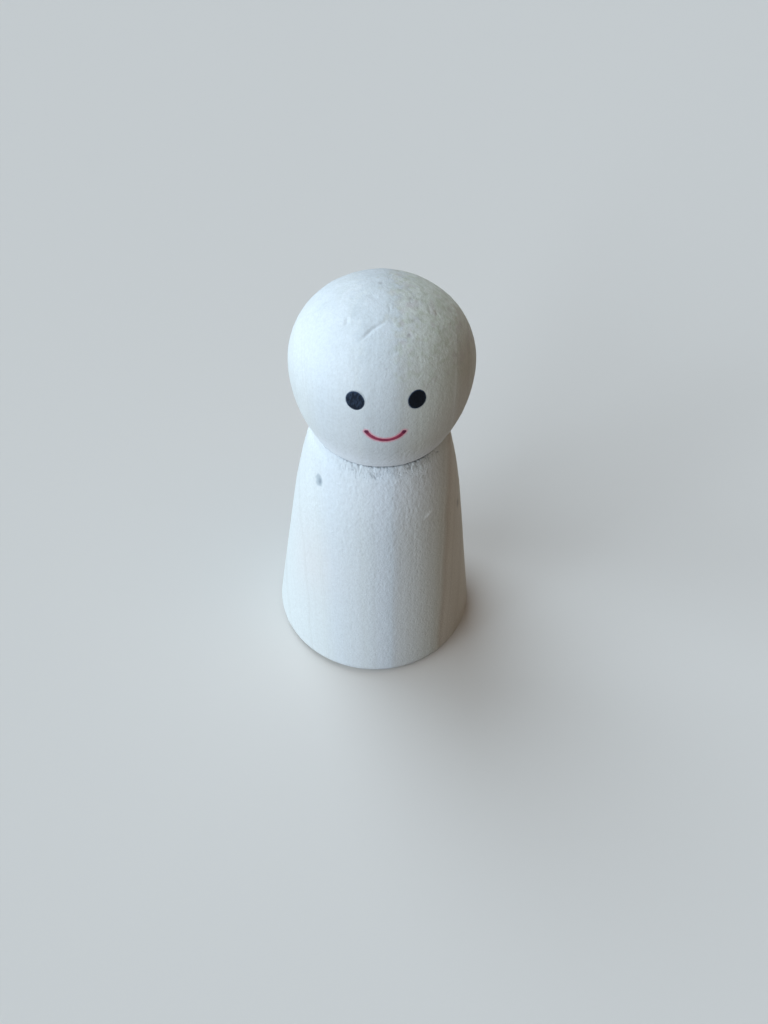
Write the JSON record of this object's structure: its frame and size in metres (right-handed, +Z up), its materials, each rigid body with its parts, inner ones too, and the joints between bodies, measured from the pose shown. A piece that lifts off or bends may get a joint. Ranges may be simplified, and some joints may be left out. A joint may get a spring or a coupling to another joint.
{
  "type": "peg doll",
  "caption": "Turned wooden peg doll: a blunt round head pegged and glued on a tapered round body, with two printed dot eyes and a small smile.",
  "frame": {"origin": "middle of the flat base, on the doll's axis", "axes": "+Z up along the doll's axis; the face looks towards -Y; +X is the doll's own left"},
  "size_m": [0.0316, 0.0316, 0.06],
  "materials": {
    "body_wood": "bare, sanded, very pale",
    "head_wood": "bare, sanded, very pale",
    "dowel_wood": "bare, fluted",
    "eye_ink": "matt printed ink",
    "mouth_ink": "matt printed ink"
  },
  "bodies": {
    "root": {"body": "body_wood", "head": "head_wood", "neck_dowel": "dowel_wood", "left_eye": "eye_ink", "right_eye": "eye_ink", "mouth": "mouth_ink"}
  },
  "joints": []
}
